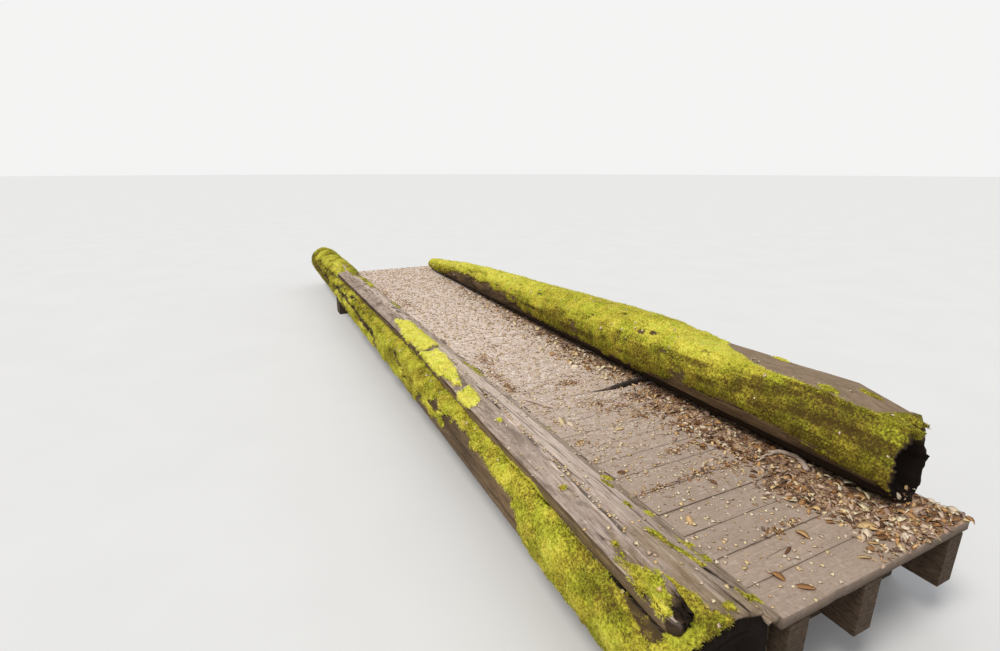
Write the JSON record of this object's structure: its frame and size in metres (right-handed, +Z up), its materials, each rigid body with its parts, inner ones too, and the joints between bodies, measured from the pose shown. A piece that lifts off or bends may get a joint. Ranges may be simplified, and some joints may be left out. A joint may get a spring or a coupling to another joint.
{
  "type": "wooden footbridge",
  "caption": "Rustic log footbridge: a plank deck on stringers and sills between two big mossy side logs, one capped with squared kerb timbers.",
  "frame": {"origin": "middle of the bounding box's underside, on the floor that the sills rest on", "axes": "+Y along the bridge from the near end to the far end, +X across it to the right-hand log, +Z up"},
  "size_m": [1.779, 8.47, 0.9113],
  "materials": {
    "log_wood": "dark weathered log with grown moss",
    "kerb_wood": "silvery weathered squared timber",
    "deck_wood": "grey-brown worn planks with fine litter",
    "hidden_timber": "dark damp timber under the deck"
  },
  "bodies": {
    "root": {"left_log": "log_wood", "near_kerb": "kerb_wood", "far_kerb": "kerb_wood", "right_log": "log_wood", "broken_plank": "deck_wood", "deck_planks_1": "deck_wood", "deck_planks_2": "deck_wood", "deck_planks_3": "deck_wood", "deck_planks_4": "deck_wood", "deck_planks_5": "deck_wood", "deck_planks_6": "deck_wood", "deck_planks_7": "deck_wood", "deck_planks_8": "deck_wood", "deck_planks_9": "deck_wood", "deck_planks_10": "deck_wood", "deck_planks_11": "deck_wood", "deck_planks_12": "deck_wood", "deck_planks_13": "deck_wood", "deck_planks_14": "deck_wood", "deck_planks_15": "deck_wood", "left_stringer": "hidden_timber", "middle_stringer": "hidden_timber", "right_stringer": "hidden_timber", "near_sill": "hidden_timber", "far_sill": "hidden_timber"}
  },
  "joints": []
}
